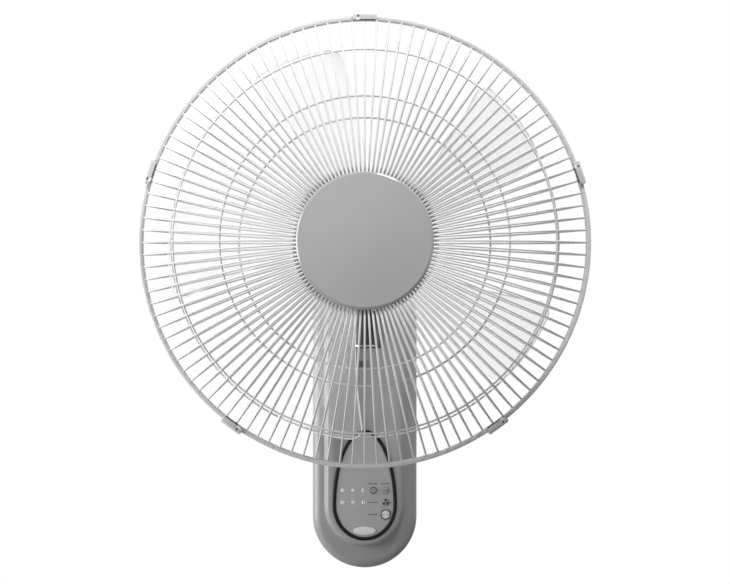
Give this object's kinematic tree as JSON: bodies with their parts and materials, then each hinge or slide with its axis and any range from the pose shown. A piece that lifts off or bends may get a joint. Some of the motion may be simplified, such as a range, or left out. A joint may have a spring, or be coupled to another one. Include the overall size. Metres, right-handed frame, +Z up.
{
  "type": "wall mounted fan",
  "caption": "Wall mounted fan with a clear blade wheel in a wire guard, on a tilting, swinging neck that leaves a slim wall column with a control panel.",
  "frame": {"origin": "middle of the wall plate's back face, on the wall", "axes": "+Y points into the wall and the fan blows towards -Y, +X is to the viewer's right, +Z is up"},
  "size_m": [0.456, 0.3622, 0.5842],
  "materials": {
    "casing": "satin moulded",
    "dark_casing": "satin moulded",
    "panel": "semi-gloss",
    "trim": "gloss",
    "lens": "smooth clear",
    "lamp": "satin moulded",
    "wire": "gloss coated",
    "hoop": "satin moulded",
    "badge": "gloss",
    "clear": "clear gloss",
    "steel": "turned",
    "zinc": "zinc plated",
    "copper": "enamelled",
    "bell": "die cast",
    "board": "matt",
    "black": "matt"
  },
  "bodies": {
    "column": {"wall_plate": "zinc", "column_rear_shell": "casing", "column_front_shell": "casing", "shell_screw_1": "zinc", "shell_screw_2": "zinc", "cord_inlet": "black", "panel_face": "panel", "panel_trim": "trim", "receiver_lens": "lens", "timer_lamp_guide": "lamp", "speed_lamp_guide": "lamp", "circuit_board": "board", "run_capacitor": "black", "terminal_block": "lamp", "tilt_bracket": "zinc", "tilt_bolt": "steel", "tilt_nut": "steel"},
    "timer_key": {"timer_button": "panel"},
    "swing_key": {"swing_button": "panel"},
    "speed_key": {"speed_button": "panel"},
    "power_key": {"power_button": "panel"},
    "neck": {"neck_arm": "dark_casing", "swivel_bush": "lamp", "swing_motor": "zinc", "swing_motor_cover": "dark_casing"},
    "crank": {"swing_crank": "lamp"},
    "link": {"swing_link": "zinc"},
    "head": {"swivel_saddle": "dark_casing", "swivel_clip": "steel", "motor_front_cover": "casing", "motor_rear_cover": "casing", "rear_cover_screw": "zinc", "front_end_bell": "bell", "rear_end_bell": "bell", "front_bearing": "steel", "rear_bearing": "steel", "stator_core": "zinc", "stator_winding": "copper", "rear_guard_plate": "wire", "rear_guard": "wire", "rear_guard_inner_ring": "wire", "rear_guard_outer_ring": "wire", "guard_nut": "dark_casing", "front_guard": "wire", "front_guard_plate": "wire", "front_guard_inner_ring": "wire", "front_guard_outer_ring": "wire", "badge": "badge", "guard_hoop": "hoop"},
    "rotor": {"rotor_core": "zinc", "motor_shaft": "steel", "blade_wheel": "clear", "drive_pin": "steel", "spinner_nut": "dark_casing"},
    "clip_1": {"guard_clip_1": "hoop"},
    "clip_2": {"guard_clip_2": "hoop"},
    "clip_3": {"guard_clip_3": "hoop"},
    "clip_4": {"guard_clip_4": "hoop"},
    "clip_5": {"guard_clip_5": "hoop"}
  },
  "joints": [
    {"name": "tilt", "type": "hinge", "parent": "column", "child": "neck", "pos_m": [0, -0.042, 0.104], "axis": [1, 0, 0], "range_deg": [-15, 20]},
    {"name": "swing", "type": "hinge", "parent": "neck", "child": "head", "pos_m": [0, -0.16, 0.1], "axis": [0, 0, 1], "range_deg": [-40, 40]},
    {"name": "crank_turn", "type": "hinge", "parent": "neck", "child": "crank", "pos_m": [0, -0.124, 0.116], "axis": [0, 0, 1], "range_deg": [-100, 100]},
    {"name": "link_turn", "type": "hinge", "parent": "head", "child": "link", "pos_m": [0.02, -0.16, 0.1205], "axis": [0, 0, 1], "range_deg": [-38, 38]},
    {"name": "blade_spin", "type": "hinge", "parent": "head", "child": "rotor", "pos_m": [0, -0.275, 0.1875], "axis": [0, -1, 0], "continuous": true},
    {"name": "timer_press", "type": "slide", "parent": "column", "child": "timer_key", "axis": [0, 1, 0], "range_m": [0, 0.001], "stiffness_N_per_m": 300},
    {"name": "swing_press", "type": "slide", "parent": "column", "child": "swing_key", "axis": [0, 1, 0], "range_m": [0, 0.001], "stiffness_N_per_m": 300},
    {"name": "speed_press", "type": "slide", "parent": "column", "child": "speed_key", "axis": [0, 1, 0], "range_m": [0, 0.001], "stiffness_N_per_m": 300},
    {"name": "power_press", "type": "slide", "parent": "column", "child": "power_key", "axis": [0, 1, 0], "range_m": [0, 0.001], "stiffness_N_per_m": 300},
    {"name": "clip_1_open", "type": "hinge", "parent": "head", "child": "clip_1", "pos_m": [0, -0.2657, 0.4175], "axis": [-1, 0, 0], "range_deg": [0, 75]},
    {"name": "clip_2_open", "type": "hinge", "parent": "head", "child": "clip_2", "pos_m": [-0.21874, -0.2657, 0.25857], "axis": [-0.309, 0, -0.9511], "range_deg": [0, 75]},
    {"name": "clip_3_open", "type": "hinge", "parent": "head", "child": "clip_3", "pos_m": [-0.13519, -0.2657, 0.00143], "axis": [0.809, 0, -0.5878], "range_deg": [0, 75]},
    {"name": "clip_4_open", "type": "hinge", "parent": "head", "child": "clip_4", "pos_m": [0.13519, -0.2657, 0.00143], "axis": [0.809, 0, 0.5878], "range_deg": [0, 75]},
    {"name": "clip_5_open", "type": "hinge", "parent": "head", "child": "clip_5", "pos_m": [0.21874, -0.2657, 0.25857], "axis": [-0.309, 0, 0.9511], "range_deg": [0, 75]}
  ],
  "couplings": [
    {"joint": "crank_turn", "follows": "swing", "ratio": 2.45},
    {"joint": "link_turn", "follows": "swing", "ratio": -0.894}
  ]
}
